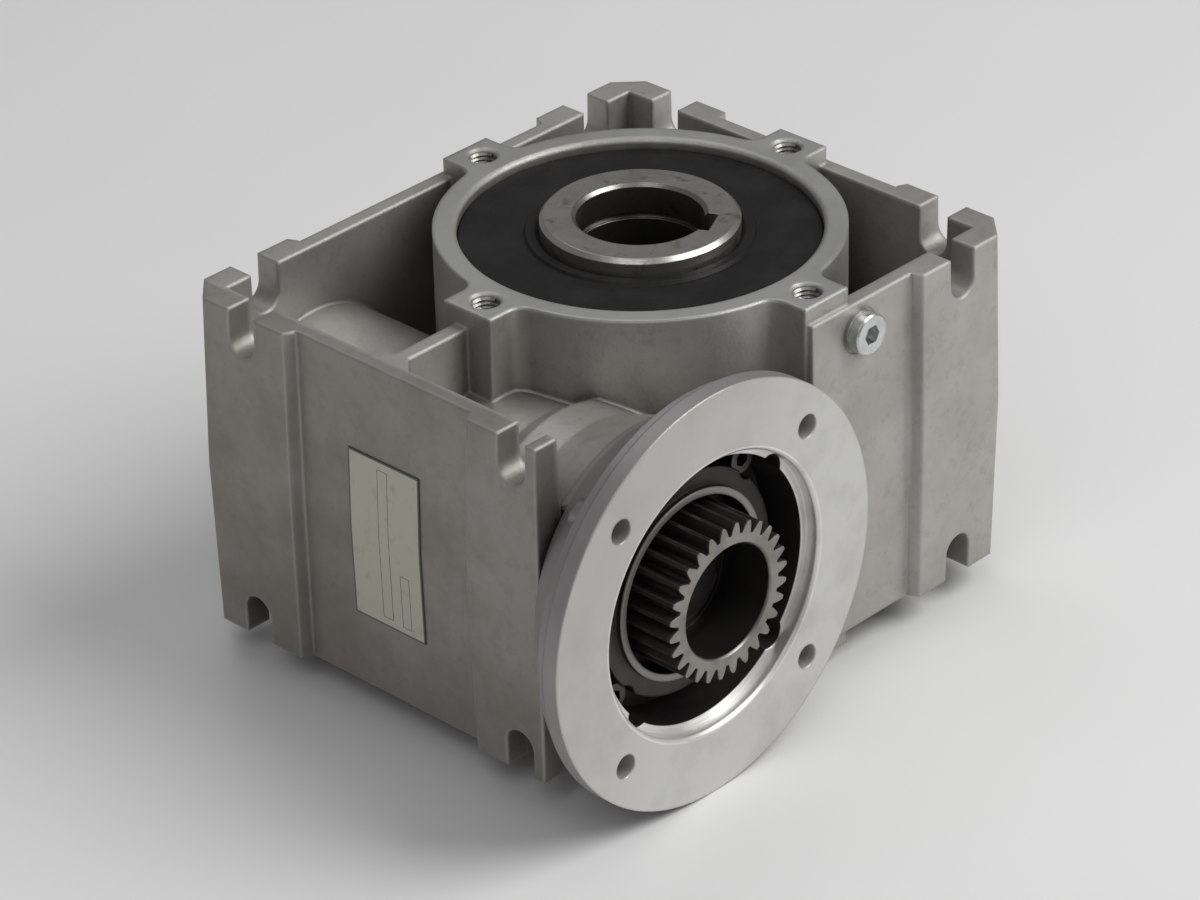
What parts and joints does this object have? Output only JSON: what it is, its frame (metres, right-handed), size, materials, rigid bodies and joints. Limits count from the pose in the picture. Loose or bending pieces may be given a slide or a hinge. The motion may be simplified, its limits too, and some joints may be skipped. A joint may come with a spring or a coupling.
{
  "type": "worm gear reducer",
  "caption": "Right-angle worm gear reducer: cast housing with foot slots, hollow keyed output shaft, flanged motor adapter and toothed input hub.",
  "frame": {"origin": "on the output axis at the housing's parting plane", "axes": "+Z along the output axis, up as pictured; the worm axis runs along Y and the input flange faces -Y"},
  "size_m": [0.1962, 0.1619, 0.12],
  "materials": {
    "cast_aluminium": "raw die-cast, warm grey",
    "cast_adapter": "raw cast with machined face",
    "shaft_steel": "turned",
    "dark_steel": "blackened",
    "bearing_steel": "ground",
    "zinc_steel": "zinc plated",
    "bronze": "cast bronze, hobbed teeth",
    "rubber": "moulded",
    "gasket": "fibre gasket"
  },
  "bodies": {
    "housing": {"housing": "cast_aluminium", "input_adapter": "cast_adapter", "adapter_gasket": "gasket", "adapter_screws": "dark_steel", "plug_washer": "zinc_steel", "screw_plug": "zinc_steel", "upper_bearing_outer_ring": "bearing_steel", "lower_bearing_outer_ring": "bearing_steel", "upper_circlip": "dark_steel", "lower_circlip": "dark_steel", "upper_seal": "rubber", "lower_seal": "rubber", "front_bearing_outer_ring": "bearing_steel", "rear_bearing_outer_ring": "bearing_steel", "rear_bore_circlip": "dark_steel", "input_seal": "rubber", "rear_end_cap": "rubber"},
    "output": {"hollow_shaft": "shaft_steel", "wheel_key": "dark_steel", "wheel_hub": "shaft_steel", "worm_wheel": "bronze", "upper_spacer": "shaft_steel", "lower_spacer": "shaft_steel", "upper_bearing_inner_ring": "bearing_steel", "lower_bearing_inner_ring": "bearing_steel"},
    "input": {"worm_shaft": "shaft_steel", "coupling_hub": "dark_steel", "hub_key": "dark_steel", "hub_circlip": "dark_steel", "rear_shaft_circlip": "dark_steel", "front_bearing_inner_ring": "bearing_steel", "rear_bearing_inner_ring": "bearing_steel"},
    "upper_roller_set": {"upper_bearing_rollers": "bearing_steel"},
    "lower_roller_set": {"lower_bearing_rollers": "bearing_steel"},
    "front_roller_set": {"front_bearing_rollers": "bearing_steel"},
    "rear_roller_set": {"rear_bearing_rollers": "bearing_steel"}
  },
  "joints": [
    {"name": "output_spin", "type": "hinge", "parent": "housing", "child": "output", "pos_m": [0, 0, 0], "axis": [0, 0, 1], "continuous": true},
    {"name": "worm_spin", "type": "hinge", "parent": "housing", "child": "input", "pos_m": [-0.063, 0, 0], "axis": [0, 1, 0], "continuous": true},
    {"name": "upper_roller_orbit", "type": "hinge", "parent": "housing", "child": "upper_roller_set", "pos_m": [0, 0, 0], "axis": [0, 0, 1], "continuous": true},
    {"name": "lower_roller_orbit", "type": "hinge", "parent": "housing", "child": "lower_roller_set", "pos_m": [0, 0, 0], "axis": [0, 0, 1], "continuous": true},
    {"name": "front_roller_orbit", "type": "hinge", "parent": "housing", "child": "front_roller_set", "pos_m": [-0.063, 0, 0], "axis": [0, 1, 0], "continuous": true},
    {"name": "rear_roller_orbit", "type": "hinge", "parent": "housing", "child": "rear_roller_set", "pos_m": [-0.063, 0, 0], "axis": [0, 1, 0], "continuous": true}
  ],
  "couplings": [
    {"joint": "worm_spin", "follows": "output_spin", "ratio": 10},
    {"joint": "upper_roller_orbit", "follows": "output_spin", "ratio": 0.417},
    {"joint": "lower_roller_orbit", "follows": "output_spin", "ratio": 0.417},
    {"joint": "front_roller_orbit", "follows": "output_spin", "ratio": 4.04},
    {"joint": "rear_roller_orbit", "follows": "output_spin", "ratio": 4.04}
  ]
}
